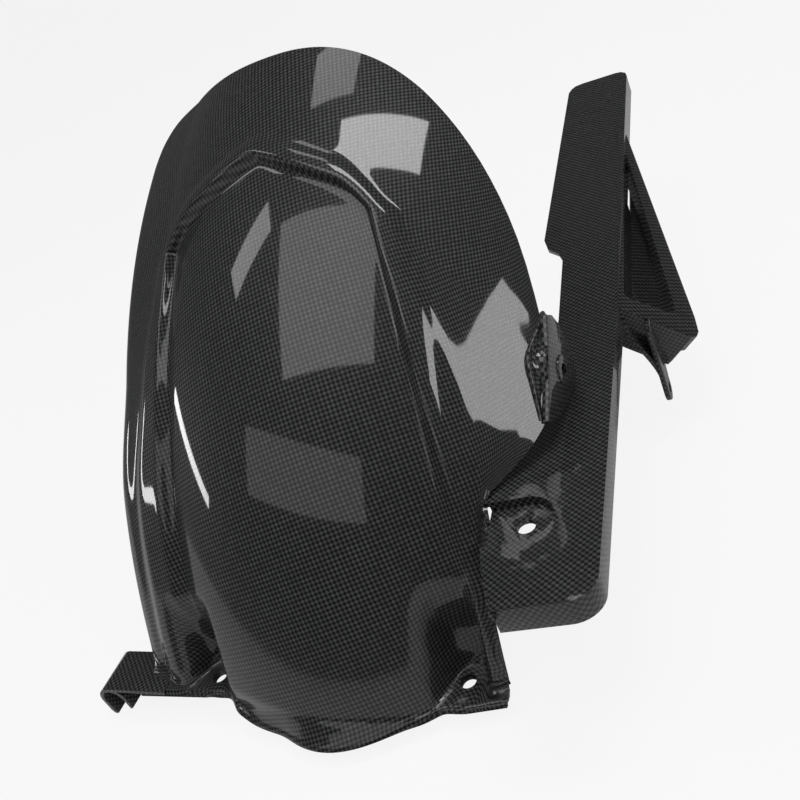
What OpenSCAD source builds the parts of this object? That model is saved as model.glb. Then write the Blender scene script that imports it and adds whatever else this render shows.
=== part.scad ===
// Rear hugger mudguard with its chain guard, laid up as one carbon moulding.
// X is the vehicle's left, Y is to the rear and Z is along the front bolts, all in mm.
// The origin is the centre of the left front bolt's hole, on its seat's top face.

/* [Arch over the tyre] */
// Radius of the outer skin at the centre line
arch_radius = 430; // [350:1:480]
// Height of the wheel centre below the front bolts
centre_drop = 138; // [100:1:170]
// Half width at the widest part
arch_half_width = 132; // [110:1:150]
// Half width at the front edge
front_half_width = 108; // [100:1:125]
// Radius of the curve across the skin
cross_radius = 131; // [110:1:200]
// Depth of the turned down left side
side_turn = 14; // [4:1:24]
// Angle of the rear tip before the top of the wheel
tip_angle = 21.5; // [10:0.5:28]
// How many degrees the rear corners stand before the tip
tip_sweep = 24; // [10:0.5:28]
// Wall of the laminate
wall = 2.4; // [1.8:0.1:3.5]

/* [Framed panel] */
// Angle of the panel's peak before the top of the wheel
peak_angle = 31; // [29:0.5:34]
// How many degrees the shoulders stand before the peak
shoulder_fall = 3.6; // [1:0.1:6]
// Half width of the panel at its shoulders
shoulder_half_width = 60; // [45:1:70]
// Half width of the panel at the front
panel_half_width = 76; // [60:1:82]
// Depth of the panel below the rib
panel_depth = 7; // [2:0.5:10]
// Height of the rib above the outer skin
rib_rise = 2.5; // [0.5:0.5:5]
// Width of the rib's crest at the peak
rib_crest_rear = 5; // [2:0.5:12]
// Width of the rib's crest at the front
rib_crest_front = 14; // [6:0.5:20]
// Width of the slope inside the rib
rib_slope = 4; // [2:0.5:8]
// Width of the slope outside the rib
rib_fall = 9; // [4:0.5:14]

/* [Front lip] */
// How far the lip's middle stands ahead of the bolts
lip_reach = 41; // [34:1:52]
// How far the lip's ends stand ahead of the bolts
lip_end_reach = 15; // [10:1:24]
// Height of the turned down edge
lip_turn = 3.5; // [2.5:0.5:8]

/* [Front bolts] */
// Place of the right hand bolt across, to the front and up
right_bolt = [-68, -6, 8];
// Place of the left hand bolt across, to the front and up
left_bolt = [78, -1, 0];
// Bore of each front bolt
front_bore = 8.6; // [6:0.1:10]
// Diameter of the flat seat round each bore
seat_diameter = 18; // [14:0.5:22]
// Thickness of each seat
seat_wall = 4; // [3:0.1:6]
// Depth of the pocket behind each seat
pocket_depth = 27; // [10:1:34]
// Half width of the pocket behind each seat
pocket_reach = 24; // [18:1:30]

/* [Chain guard] */
// Height of the guard above the front bolts
guard_height = 79; // [70:1:90]
// Place of the guard's outer corner at the crease
guard_corner_at = [142.5, 193];
// Length of the guard ahead of its crease
guard_front = 217; // [200:1:230]
// Length of the guard behind its crease
guard_rear = 280; // [240:1:300]
// Width of the guard at its front edge
guard_front_width = 39; // [32:1:50]
// Width of the guard at its crease
guard_width = 33; // [26:1:45]
// Width of the guard at its rear end
guard_rear_width = 37; // [30:1:50]
// Angle that the rear of the guard rises at
guard_rise = 7; // [0:0.5:12]
// Angle that the guard turns in towards its rear
guard_turn = 7.5; // [0:0.5:12]
// Depth of the turned down outer edge
guard_edge = 13; // [8:1:24]
// Corner radius at the front
guard_corner = 14; // [6:1:24]
// Bore of the guard's bolt
guard_bore = 9; // [6:0.1:11]
// Diameter of the pocket round the guard's bolt
guard_pocket = 29; // [22:1:36]
// Depth of the pocket
guard_pocket_depth = 5; // [2:0.5:10]

/* [Side fin] */
// How far the fin's corner stands out from the guard
fin_reach = 53; // [30:1:70]
// Angle that the fin slopes down at
fin_slope = 47; // [20:1:70]
// Length of the fin along the guard
fin_length = 214; // [150:1:240]
// Width of the fin's front band
fin_band = 15; // [10:1:30]
// Width of the fin's outer strip
fin_strip = 13; // [8:0.5:20]
// Depth of the fin's turned down edge
fin_turn = 15; // [6:1:24]
// Bore of the fin's lug
fin_bore = 6.4; // [5:0.1:9]
// Height of the fin's lug below the guard
fin_hang = 60; // [44:1:66]

/* [Side tab] */
// Wall of the tab
tab_wall = 3.2; // [2:0.1:5]
// Bore of the tab
tab_bore = 6.4; // [5:0.1:9]

/* [Hose hook] */
// Diameter of the hose that the hook holds
hose_diameter = 14; // [8:0.5:18]
// Length of the hook along the hose
hook_length = 28; // [16:1:34]

/* [Hidden] */
$fn = 48;
carbon = [0.13, 0.135, 0.14];
e = 0.01;

wheel_y = 366.6;
wheel_z = -centre_drop;

function clamp(a) = min(1, max(0, a));
function smooth(a) = let (b = clamp(a)) b * b * (3 - 2 * b);
function mix(a, b, t) = a + (b - a) * t;

// Outline of the skin and of the panel, as angles and half widths.
function rear_edge(x) = -tip_angle - tip_sweep * (1 - sqrt(1 - pow(min(0.995, abs(x) / (arch_half_width + 2)), 2)));
function panel_top(x) = -peak_angle - shoulder_fall * min(1.15, abs(x) / shoulder_half_width)
    - 14 * pow(clamp((abs(x) - shoulder_half_width * 0.8) / 80), 1.5);
function half_width(a) = mix(front_half_width, arch_half_width, smooth((a + 72) / 26));
function panel_side(a) = mix(panel_half_width, shoulder_half_width, smooth((a + 52) / 17));
function crest(a) = mix(rib_crest_front, rib_crest_rear, smooth((a + 60) / 27));

// Height of the rib above the skin, from the distance outside the panel's outline.
function rib(d, w) = d < rib_slope ? mix(-panel_depth + rib_rise, rib_rise, smooth(d / rib_slope))
    : mix(rib_rise, 0, smooth((d - rib_slope - w) / rib_fall));

// Radius of the skin at a place across and an angle. The front is flatter across than the rear.
function flat_front(x) = let (p = 70) p * p / 2 / cross_radius + (abs(x) - p) * 0.25;
function drop(x, a) = let (d = x * x / 2 / cross_radius) abs(x) < 70 ? d : mix(d, flat_front(x), smooth((-46 - a) / 12));
function turn(x, a) = x > 0 ? 0 : side_turn * pow(clamp((-x - half_width(a) + 9) / 9), 2);
function pocket(x, a, b) = let (u = abs(x - b[0]) / pocket_reach)
    pocket_depth * (1 - smooth((u - 0.4) / 0.5)) * smooth((-62 - a) / 5);
function skin(x, a) = arch_radius - drop(x, a) - turn(x, a)
    - max(pocket(x, a, right_bolt), x > left_bolt[0] ? pocket(left_bolt[0], a, left_bolt) : pocket(x, a, left_bolt))
    + rib(max(abs(x) - panel_side(a), (a - panel_top(x)) * 7.5), crest(a));
function on_arch(x, a) = let (r = skin(x, a)) [x, wheel_y + r * sin(a), wheel_z + r * cos(a)];

// Edge of the flank that climbs from the panel to the chain guard, by angle.
function flank(a) = [lookup(a, [[-70, 106], [-64, 132], [-56, 105]]),
    lookup(a, [[-70, -6], [-67, -22], [-64, -27], [-56, 43]]),
    lookup(a, [[-70, 3.5], [-64, guard_height], [-56, guard_height]])];

// The foot of the arch, where it turns forward into the lip.
function lift(x) = right_bolt[2] * smooth((-x - 36) / 20);
function foot_z(x) = lift(x) + 8 + 9 * (1 - smooth((abs(x - 12) - 22) / 34));
function foot_angle(x) = let (r = skin(x, -68)) -acos((foot_z(x) - wheel_z) / r);
function lip_y(x) = -lip_end_reach - (lip_reach - lip_end_reach) * pow(cos(90 * clamp(abs(x - 20) / 84)), 1.4);
function foot(x) = on_arch(x, foot_angle(x));

// Rows from the lip's lower edge to the rear edge.
row_steps = [0.04, 0.1, 0.18, 0.28, 0.38, 0.48, 0.58, 0.68, 0.78, 0.87, 0.94, 1];
rear_steps = [0.25, 0.5, 0.75, 1];
function lip_row(x, k) = let (f = foot(x), y = min(lip_y(x), f[1] - 9), z = lift(x))
    k == 0 ? [x, y - 1.2, z - lip_turn] : k == 1 ? [x, y - 0.4, z - 1.6] : k == 2 ? [x, y + 1.2, z - 0.2]
    : k == 3 ? [x, mix(y, f[1], 0.5), z] : k == 4 ? [x, f[1] - 4.5, z + 0.8] : k == 5 ? [x, f[1] - 1.4, z + 3.6] : f;
function lip_end(k) = [104 + 0.4 * k, 1.6 * k - 16, [-lip_turn, -1.6, -0.2, 0, 0.4, 1.6][k]];
function arch_row(x, k) = let (a0 = foot_angle(x), a1 = panel_top(x), a2 = rear_edge(x), s = 1 / 7.5,
    m = len(row_steps))
    k < m ? on_arch(x, mix(a0, a1, row_steps[k]))
    : k == m ? on_arch(x, a1 + rib_slope * s * 0.5) : k == m + 1 ? on_arch(x, a1 + rib_slope * s)
    : k == m + 2 ? on_arch(x, a1 + (rib_slope + rib_crest_rear) * s)
    : k == m + 3 ? on_arch(x, a1 + (rib_slope + rib_crest_rear + rib_fall / 2) * s)
    : k == m + 4 ? on_arch(x, a1 + (rib_slope + rib_crest_rear + rib_fall) * s)
    : let (a3 = a1 + (rib_slope + rib_crest_rear + rib_fall) * s)
        on_arch(x, mix(a3, a2, rear_steps[k - m - 5]));
rows = 7 + len(row_steps) + 5 + len(rear_steps);
function row_angle(k) = k < 7 ? -70 : k < 7 + len(row_steps) ? mix(-69, -34, row_steps[k - 7]) : -34;

// Columns follow the panel's sides and the rib beside them.
inner_columns = 12;
function column(i, a) = let (s = sign(i), n = abs(i), p = panel_side(a), w = crest(a),
    c = p + rib_slope + w, h = half_width(a), f = min(rib_fall, (h - c) * 0.7))
    s * (n <= inner_columns ? p * n / inner_columns : n == inner_columns + 1 ? p + rib_slope * 0.5
    : n == inner_columns + 2 ? p + rib_slope : n == inner_columns + 3 ? p + rib_slope + w * 0.5
    : n == inner_columns + 4 ? c : n == inner_columns + 5 ? c + f / 2
    : mix(c + f, h, (n - inner_columns - 6) / 4));
side = inner_columns + 10;

function edge_angle(x, k) = mix(foot_angle(x), panel_top(x), row_steps[k - 7]);
function point(i, k) = let (q = row_angle(k), x = column(i, q), p = k < 7 ? lip_row(x, k) : arch_row(x, k - 7),
    last = 7 + len(row_steps) - 1)
    i <= inner_columns || k > last ? p
    : k < 6 ? mix(lip_row(column(inner_columns, q), k), lip_end(k), (i - inner_columns) / (side - inner_columns))
    : let (h = column(side, q), a = k == 6 ? -70 : edge_angle(h, k), s = (i - inner_columns) / (side - inner_columns),
        base = k < 7 ? lip_row(column(inner_columns, q), k) : arch_row(column(inner_columns, q), k - 7),
        f = smooth((-54 - a) / 3))
        mix(p, mix(base, flank(a), pow(s, 0.9)), f);
grid = [for (k = [0 : rows - 1]) [for (i = [-side : side]) point(i, k)]];
function at(i, k) = grid[min(rows - 1, max(0, k))][min(2 * side, max(0, i))];
function normal(i, k) = let (n = cross(at(i + 1, k) - at(i - 1, k), at(i, k + 1) - at(i, k - 1))) n / norm(n);

// A closed skin of even wall from the grid of points.
module skin_solid() {
    w = 2 * side + 1;
    n = w * rows;
    outer = [for (k = [0 : rows - 1]) for (i = [0 : w - 1]) at(i, k)];
    inner = [for (k = [0 : rows - 1]) for (i = [0 : w - 1]) at(i, k) - wall * normal(i, k)];
    function quad(a, b, c, d) = [[a, b, c], [a, c, d]];
    top = [for (k = [0 : rows - 2]) for (i = [0 : w - 2])
        each quad(k * w + i, (k + 1) * w + i, (k + 1) * w + i + 1, k * w + i + 1)];
    low = [for (k = [0 : rows - 2]) for (i = [0 : w - 2])
        each quad(n + k * w + i, n + k * w + i + 1, n + (k + 1) * w + i + 1, n + (k + 1) * w + i)];
    front = [for (i = [0 : w - 2]) each quad(i, i + 1, n + i + 1, n + i)];
    back = [for (i = [0 : w - 2]) let (r = (rows - 1) * w) each quad(r + i, n + r + i, n + r + i + 1, r + i + 1)];
    left = [for (k = [0 : rows - 2]) each quad(k * w, n + k * w, n + (k + 1) * w, (k + 1) * w)];
    right = [for (k = [0 : rows - 2]) let (r = w - 1)
        each quad(k * w + r, (k + 1) * w + r, n + (k + 1) * w + r, n + k * w + r)];
    polyhedron(points = concat(outer, inner), faces = concat(top, low, front, back, left, right), convexity = 8);
}

// Outline of the guard, seen from above, ahead of its crease and behind it.
module front_outline(grow) {
    difference() {
        offset(delta = grow) polygon([[0, 0], [0, -guard_front + guard_corner],
            for (t = [15 : 15 : 75]) [-guard_corner * (1 - cos(t)), -guard_front + guard_corner * (1 - sin(t))],
            [-guard_corner, -guard_front], [-guard_front_width, -guard_front],
            [-59, -143.7], [-42, -111], [-guard_width - 1, 0]]);
        translate([-100, -0.01]) square([120, 20]);
    }
}
module rear_outline(grow) {
    r = 9;
    difference() {
        offset(delta = grow) polygon([[0, -2], [-guard_width - 1, -2], [-guard_width - 1, 58], [-guard_width - 4, 66],
            [-guard_rear_width - 7, 73], [-guard_rear_width - 10, 84], [-guard_rear_width - 1, guard_rear - r],
            [-guard_rear_width + 2, guard_rear - 2], [-guard_rear_width + r, guard_rear],
            [-r, guard_rear], [-2, guard_rear - 3], [0, guard_rear - r]]);
        translate([-100, -20.6]) square([120, 20]);
    }
}

// A plate with its outer and front edges turned down.
module front_plate() {
    translate([0, 0, -wall]) linear_extrude(wall) front_outline(0);
    difference() {
        translate([0, 0, -guard_edge]) linear_extrude(guard_edge - wall / 2) front_outline(0);
        translate([0, 0, -guard_edge - 1]) linear_extrude(guard_edge + 2) union() {
            front_outline(-wall);
            translate([-90, -150]) square([90 - wall, 160]);
            translate([-90, -guard_front + wall]) square([90 - guard_front_width + 30, 260]);
        }
    }
}
module rear_plate() {
    translate([0, 0, -wall]) linear_extrude(wall) rear_outline(0);
    translate([-wall, -2, -guard_edge]) cube([wall, guard_rear - 7, guard_edge - wall / 2]);
}

// The open triangular fin outside the rear of the guard, with its lug.
module fin() {
    tip = [fin_reach, 5];
    rotate([0, fin_slope, 0]) difference() {
        translate([0, 0, -wall]) linear_extrude(wall) polygon([[-0.6, 0], [tip[0] - 5, tip[1] - 2],
            [tip[0], tip[1] + 6], [tip[0] - 2, tip[1] + 18], [1, fin_length], [-0.6, fin_length]]);
        translate([0, 0, -wall - 1]) linear_extrude(wall + 2) polygon([[4, fin_band - 2], [tip[0] - fin_strip - 3,
            fin_band + 2], [tip[0] - fin_strip - 2, fin_band + 8], [5, fin_length - 46], [4, fin_length - 46]]);
    }
    // Turned down edge along the outer strip and across the front band.
    rotate([0, fin_slope, 0]) translate([0, 0, -fin_turn]) linear_extrude(fin_turn - wall / 2) polygon([[tip[0] - 5, tip[1] - 2],
        [tip[0], tip[1] + 6], [tip[0] - 2, tip[1] + 18], [1, fin_length], [1 - wall, fin_length - 4],
        [tip[0] - 2 - wall, tip[1] + 17], [tip[0] - wall, tip[1] + 6.5], [tip[0] - 6, tip[1] + 0.6],
        [0, wall], [0, 0]]);
}
module fin_lug() {
    translate([11, 0, -fin_hang]) rotate([90, 0, 90]) difference() {
        linear_extrude(3) polygon([[-7, 0], [-5.5, -5], [0, -8], [5.5, -5], [7, 0], [9, fin_hang - 22],
            [9, fin_hang - 14], [-3, fin_hang - 14], [-5, 30]]);
        translate([0, 0, -1]) cylinder(d = fin_bore, h = 5);
    }
}

// Bolt pocket in the guard: a shallow cup that is open towards the arch.
pocket_at = [-37, -163];
module guard_cup(r, top, low) {
    translate([0, 0, -low]) linear_extrude(low + top) union() {
        translate(pocket_at) circle(r);
        translate([pocket_at[0] - 34, pocket_at[1] - r]) square([34, 2 * r]);
    }
}

// The tab that hangs from the edge of the arch beside the guard.
tab_hole = [110, 99];
module tab() {
    translate([131, 0, 0]) rotate([90, 0, 90]) difference() {
        union() {
            linear_extrude(tab_wall) polygon([[76, 90], [82, 82], [95, 78], [112, 79], [123, 88], [127, 102],
                [126, 122], [121, 131], [112, 124], [96, 110]]);
            translate([tab_hole[0], tab_hole[1], tab_wall - 0.5]) cylinder(d = 15, h = 1.5);
        }
        translate([tab_hole[0], tab_hole[1], -1]) cylinder(d = tab_bore, h = 12);
    }
}

// The hook at the right hand end of the lip, open below.
module hook() {
    r = hose_diameter / 2;
    translate([-131 - r, 13, right_bolt[2] - r - 0.7]) rotate([90, 0, 0]) linear_extrude(hook_length) {
        difference() {
            circle(r + wall);
            circle(r);
            translate([-2 * r, -2 * r - 3]) square([4 * r, 2 * r]);
        }
        translate([-r - wall, -r - 4]) square([wall, r + 2]);
        translate([r, -3.5]) square([wall, 3]);
        translate([r - 1, 1.5]) square([wall + 2, r - 2]);
        translate([r - 1, r - 1.4]) square([30, wall]);
    }
}

module seat(p) { translate([p[0], p[1], p[2] - seat_wall]) cylinder(d = seat_diameter, h = seat_wall); }
module bore(p, d) { translate([p[0], p[1], p[2] - 12]) cylinder(d = d, h = 20); }

module guard_place() { translate([guard_corner_at[0], guard_corner_at[1], guard_height]) rotate([0, 0, guard_turn]) children(); }

module hugger_shell() {
    color(carbon) translate(-left_bolt) difference() {
        union() {
            difference() {
                union() {
                    skin_solid();
                    guard_place() { front_plate(); rotate([guard_rise, 0, 0]) { rear_plate(); fin(); } fin_lug(); }
                    guard_place() guard_cup(guard_pocket / 2 + wall, -wall / 2, guard_pocket_depth + wall);
                    tab();
                    hook();
                }
                guard_place() guard_cup(guard_pocket / 2, 1, guard_pocket_depth);
            }
            seat(right_bolt);
            seat(left_bolt);
        }
        bore(right_bolt, front_bore);
        bore(left_bolt, front_bore);
        guard_place() bore([pocket_at[0], pocket_at[1], -guard_pocket_depth], guard_bore);
    }
}

hugger_shell();
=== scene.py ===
"""Rear hugger mudguard: one glossy plain weave carbon moulding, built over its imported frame."""

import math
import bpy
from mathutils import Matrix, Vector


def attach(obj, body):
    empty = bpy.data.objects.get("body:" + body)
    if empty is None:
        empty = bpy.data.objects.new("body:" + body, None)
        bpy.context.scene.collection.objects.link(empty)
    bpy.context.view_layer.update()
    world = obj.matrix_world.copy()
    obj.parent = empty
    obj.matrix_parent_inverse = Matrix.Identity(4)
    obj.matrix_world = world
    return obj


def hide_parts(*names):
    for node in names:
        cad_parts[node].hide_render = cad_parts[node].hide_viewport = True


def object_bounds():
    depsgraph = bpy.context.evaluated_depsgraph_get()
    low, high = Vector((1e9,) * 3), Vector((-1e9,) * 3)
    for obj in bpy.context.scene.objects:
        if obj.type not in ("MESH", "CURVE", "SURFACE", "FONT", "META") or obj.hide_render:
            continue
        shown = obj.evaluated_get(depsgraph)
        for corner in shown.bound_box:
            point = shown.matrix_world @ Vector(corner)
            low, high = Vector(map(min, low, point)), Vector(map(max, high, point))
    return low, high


bl_info = {
    "name": "Rear Hugger Mudguard",
    "version": (1, 0, 0),
    "blender": (4, 5, 0),
    "location": "3D View > Sidebar > Hugger",
    "description": "Builds a rear hugger mudguard with its chain guard, fin, tab and hose hook",
    "category": "Add Mesh",
}

import bpy
from bpy.props import FloatProperty, FloatVectorProperty
from mathutils import Matrix, Vector

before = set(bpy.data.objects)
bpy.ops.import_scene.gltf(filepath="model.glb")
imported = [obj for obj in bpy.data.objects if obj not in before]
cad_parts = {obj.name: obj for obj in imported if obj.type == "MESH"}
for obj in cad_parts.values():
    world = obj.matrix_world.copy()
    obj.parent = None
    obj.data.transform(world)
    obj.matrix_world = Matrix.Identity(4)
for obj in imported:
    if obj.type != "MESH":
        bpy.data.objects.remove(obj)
CAD_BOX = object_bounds()

NODE = "hugger_shell"
MM = 0.001
# The shape is set out in millimetres with X across from the middle, then moved to the left bolt.
LEFT_BOLT = Vector((78, -1, 0))
RIGHT_BOLT = Vector((-68, -6, 8))


def length(name, default, text):
    """A size that is kept in metres."""
    return FloatProperty(name=name, description=text, default=default, unit="LENGTH", subtype="DISTANCE",
                         precision=4)


def angle(name, degrees, text):
    """An angle that is kept in radians."""
    return FloatProperty(name=name, description=text, default=math.radians(degrees), unit="ROTATION",
                         subtype="ANGLE")


def colour(name, default, text):
    """A colour that is kept in linear light."""
    return FloatVectorProperty(name=name, description=text, default=default, subtype="COLOR", size=3, min=0,
                               max=1)


class HuggerArch(bpy.types.PropertyGroup):
    """Sizes of the arch, its framed panel and its front lip."""

    arch_radius: length("Arch radius", 0.430, "Radius of the outer skin at the centre line")
    centre_drop: length("Centre drop", 0.138, "Height of the wheel centre below the front bolts")
    bolt_setback: length("Bolt setback", 0.0406, "How far the bolts stand behind the foot of the arch")
    arch_half_width: length("Half width", 0.132, "Half width at the widest part")
    left_half_width: length("Half width, plain side", 0.114, "Half width where the skin turns down")
    cross_radius: length("Cross radius", 0.131, "Radius of the curve across the skin")
    side_turn: length("Side turn", 0.016, "Depth of the turned down side")
    tip_angle: angle("Tip angle", 21.5, "Angle of the rear tip before the top of the wheel")
    tip_sweep: angle("Tip sweep", 27, "How far the rear corners stand before the tip")
    wall: length("Wall", 0.0024, "Wall of the laminate")
    peak_angle: angle("Peak angle", 31, "Angle of the panel's peak before the top of the wheel")
    shoulder_fall: angle("Shoulder fall", 3.6, "How far the shoulders stand before the peak")
    shoulder_half_width: length("Shoulder half width", 0.060, "Half width of the panel at its shoulders")
    panel_half_width: length("Panel half width", 0.084, "Half width of the panel where it is widest")
    panel_depth: length("Panel depth", 0.007, "Depth of the panel below the rib")
    rib_rise: length("Rib rise", 0.0025, "Height of the rib above the outer skin")
    rib_crest_rear: length("Rib crest, rear", 0.005, "Width of the rib's crest at the peak")
    rib_crest_front: length("Rib crest, front", 0.015, "Width of the rib's crest at the front left")
    rib_slope: length("Rib slope", 0.004, "Width of the slope inside the rib")
    rib_slope_left: length("Rib slope, left", 0.010, "Width of the slope inside the left rib lower down")
    rib_fall: length("Rib fall", 0.009, "Width of the slope outside the rib")
    lip_reach: length("Lip reach", 0.042, "How far the lip's middle stands ahead of the bolts")
    lip_end_reach: length("Lip end reach", 0.017, "How far the lip's ends stand ahead of the bolts")
    lip_turn: length("Lip turn", 0.003, "Height of the lip's turned down edge")
    front_bore: length("Front bore", 0.0086, "Bore of each front bolt")
    seat_diameter: length("Seat diameter", 0.018, "Diameter of the boss under each bore")
    seat_ring: length("Seat ring", 0.022, "Diameter of the flat ring round each bore")
    seat_wall: length("Seat wall", 0.004, "Thickness of each seat")
    pocket_depth: length("Pocket depth", 0.018, "Depth of the pocket behind each seat")
    pocket_reach: length("Pocket reach", 0.018, "Half width of the pocket behind each seat")


class HuggerGuard(bpy.types.PropertyGroup):
    """Sizes of the chain guard, its fin, the side tab and the hose hook."""

    guard_height: length("Guard height", 0.079, "Height of the guard above the front bolts")
    guard_front: length("Guard front", 0.217, "Length of the guard ahead of its crease")
    guard_rear: length("Guard rear", 0.280, "Length of the guard behind its crease")
    guard_front_width: length("Front width", 0.045, "Width of the guard at its front edge")
    guard_width: length("Crease width", 0.033, "Width of the guard at its crease")
    guard_rear_width: length("Rear width", 0.037, "Width of the guard at its rear end")
    guard_rise: angle("Guard rise", 7, "Angle that the rear of the guard rises at")
    guard_turn: angle("Guard turn", 7.5, "Angle that the guard turns in towards its rear")
    guard_edge: length("Guard edge", 0.013, "Depth of the turned down outer edge")
    guard_corner: length("Guard corner", 0.014, "Corner radius at the front")
    guard_bore: length("Guard bore", 0.009, "Bore of the guard's bolt")
    guard_pocket: length("Guard pocket", 0.029, "Diameter of the pocket round the guard's bolt")
    guard_pocket_depth: length("Pocket depth", 0.005, "Depth of the pocket")
    fin_reach: length("Fin reach", 0.053, "How far the fin's corner stands out from the guard")
    fin_slope: angle("Fin slope", 47, "Angle that the fin slopes down at")
    fin_length: length("Fin length", 0.214, "Length of the fin along the guard")
    fin_band: length("Fin band", 0.015, "Width of the fin's front band")
    fin_strip: length("Fin strip", 0.013, "Width of the fin's outer strip")
    fin_turn: length("Fin turn", 0.012, "Depth of the edge along the fin's outer strip")
    fin_front: length("Fin front", 0.024, "Depth of the edge across the fin's front band")
    fin_bore: length("Fin bore", 0.0064, "Bore of the fin's lug")
    fin_hang: length("Fin hang", 0.060, "Height of the fin's lug below the guard")
    tab_wall: length("Tab wall", 0.0032, "Wall of the tab")
    tab_bore: length("Tab bore", 0.0064, "Bore of the tab")
    hose_diameter: length("Hose diameter", 0.014, "Diameter of the hose that the hook holds")
    hook_length: length("Hook length", 0.028, "Length of the hook along the hose")


class HuggerFinish(bpy.types.PropertyGroup):
    """Colours and scale of the woven laminate, whose two tow colours are painted sheen and painted shade, and
    of the stage.
    """

    cell: length("Weave cell", 0.00165, "Width of one crossing of the plain weave")
    arch_turn: angle("Arch weave turn", 31, "Angle of the weave on the arch")
    # The two tow colours are painted sheen and painted shade: real tows are alike and differ only by how they
    # reflect the light.
    dark_tow_painted_shade: colour("Dark tow", (0.0022, 0.0023, 0.0024), "Colour of the tows that lie across the light")
    light_tow_painted_sheen: colour("Light tow", (0.085, 0.087, 0.090), "Colour of the tows that catch the light")
    floor: colour("Floor", (0.90, 0.90, 0.90), "Colour of the floor and backdrop")


def in_mm(group):
    """Every size of a group in millimetres, and every angle in degrees."""
    out = {}
    for key, prop in group.bl_rna.properties.items():
        if prop.type == "FLOAT" and not prop.is_array:
            value = getattr(group, key)
            out[key] = math.degrees(value) if prop.subtype == "ANGLE" else value / MM
    return out


# Number work

def clamp(t):
    """A share held between 0 and 1."""
    return min(1.0, max(0.0, t))


def smooth(t):
    """A share that starts and ends softly."""
    t = clamp(t)
    return t * t * (3 - 2 * t)


def mix(a, b, t):
    """The value a share of the way from one to another."""
    return a + (b - a) * t


def straight(a, pairs):
    """A value from straight lines through pairs."""
    if a <= pairs[0][0]:
        return pairs[0][1]
    for (a0, v0), (a1, v1) in zip(pairs, pairs[1:]):
        if a <= a1:
            return mix(v0, v1, (a - a0) / (a1 - a0))
    return pairs[-1][1]


TANGENTS = {}      # the slopes of each smooth line, worked out once


def curved(a, pairs):
    """A value from a smooth line through pairs that never swings past them."""
    if a <= pairs[0][0]:
        return pairs[0][1]
    if a >= pairs[-1][0]:
        return pairs[-1][1]
    if pairs not in TANGENTS:
        rises = [(v1 - v0) / (a1 - a0) for (a0, v0), (a1, v1) in zip(pairs, pairs[1:])]
        inner = [2 * p * q / (p + q) if p * q > 0 else 0.0 for p, q in zip(rises, rises[1:])]
        TANGENTS[pairs] = [rises[0]] + inner + [rises[-1]]
    slopes = TANGENTS[pairs]
    for n, ((a0, v0), (a1, v1)) in enumerate(zip(pairs, pairs[1:])):
        if a <= a1:
            h = a1 - a0
            t = (a - a0) / h
            u, w = t * t, t * t * t
            return (v0 * (2 * w - 3 * u + 1) + h * slopes[n] * (w - 2 * u + t)
                    + v1 * (3 * u - 2 * w) + h * slopes[n + 1] * (w - u))


def sin_deg(a):
    return math.sin(math.radians(a))


def cos_deg(a):
    return math.cos(math.radians(a))


# The skin over the tyre

# Each line is pairs of an angle about the wheel, before its top, and a value in millimetres or as a share.
PANEL_RIGHT = ((-70, 1.12), (-64, 1.1), (-58, 1), (-53, 0.86), (-48, 0.69), (-43, 0.47), (-38, 0.18),
               (-35.5, 0))
PANEL_LEFT = ((-70, 0.5), (-62, 0.26), (-54, 0.22), (-47, 0.1), (-40, 0.06), (-35.5, 0))
CREST_RIGHT = ((-70, 98.2), (-66.7, 98.9), (-63.8, 98.5), (-61.6, 97.8), (-59.2, 96.2), (-55.4, 93.2),
               (-51.9, 89.5), (-49.2, 86.2), (-45.8, 82), (-42.4, 77.5), (-38, 69.3), (-34.5, 64))
CREST_STRAIGHT_BEFORE, EDGE_STRAIGHT_BEFORE = -58, -57
EDGE_RIGHT = ((-70, 101), (-64, 100.8), (-61, 100.6), (-59, 101.6), (-56.2, 105), (-55.3, 111), (-52.9, 126),
              (-51, 132), (-40, 132))
EDGE_LEFT = ((-70, 3), (-64, 1), (-55, 0), (-40, -2), (-24, -2))
SLOPE_LEFT = ((-70, 0.6), (-64, 1))
CREST_NARROW = (-62, 1.6), (-54, 3)
# The height of the arch's foot, by the place across.
FOOT = ((-35, 16), (-12, 14), (8, 10), (23, 7.5), (60, 5), (72, 3))
# How the plain side turns down, by the distance past the place where the turn starts.
TURN_LEFT = ((0, 0), (6, 1.6), (9.4, 5.6), (11.4, 16))
TURN_START, TURN_WIDTH, TURN_FULL = 9, 11.4, 16
# Where the skin's edge leaves the guard's plane, and where its lug passes the guard's front corner.
MERGE, CORNER = -56.2, -64.8
# The guard's inner edge, from that place to its front corner, in the guard's plane.
GUARD_INNER = ((104.9, 39.5), (111, 14.3), (113.4, 4.9), (120.9, -15.9), (128.3, -32.5))
# The guard's bolt, and its crease's outer corner when the guard is at its place.
BOLT_AT = (-37, -163)
CREASE_AT = (142.5, 193)
LONG = 7.5      # millimetres of arc in a degree
# Angles before the top of the wheel: near the foot of the arch, and just behind the panel's peak.
NEAR_FOOT, ROW_FOOT, ROW_TOP = -68.5, -69, -33
# The rear edge: the power of its oval, 2 being an ellipse, and the short corner on the plain side.
OVAL, PLAIN_CORNER, CORNER_WIDTH, CORNER_SHARE = 2.6, 0.8, 22, 0.22
# Across, the skin is an arc as far as this from the middle, and straight with these slopes past it.
ARC_TO, SLOPE_REAR, SLOPE_FRONT_GUARD, SLOPE_FRONT_PLAIN = 70, 0.39, 0.62, 0.25
# The lug pockets start at this angle, reach their depth in so many degrees and are narrower at the left bolt.
POCKET_START, POCKET_EASE, POCKET_NARROW, POCKET_FLAT = -61, 5.5, 0.8, 0.4
# The lip's middle, and the half widths of its swell to either side.
LIP_MIDDLE, SWELL_RIGHT, SWELL_LEFT, SWELL_POWER = 11, 56, 58, 1.2


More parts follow.
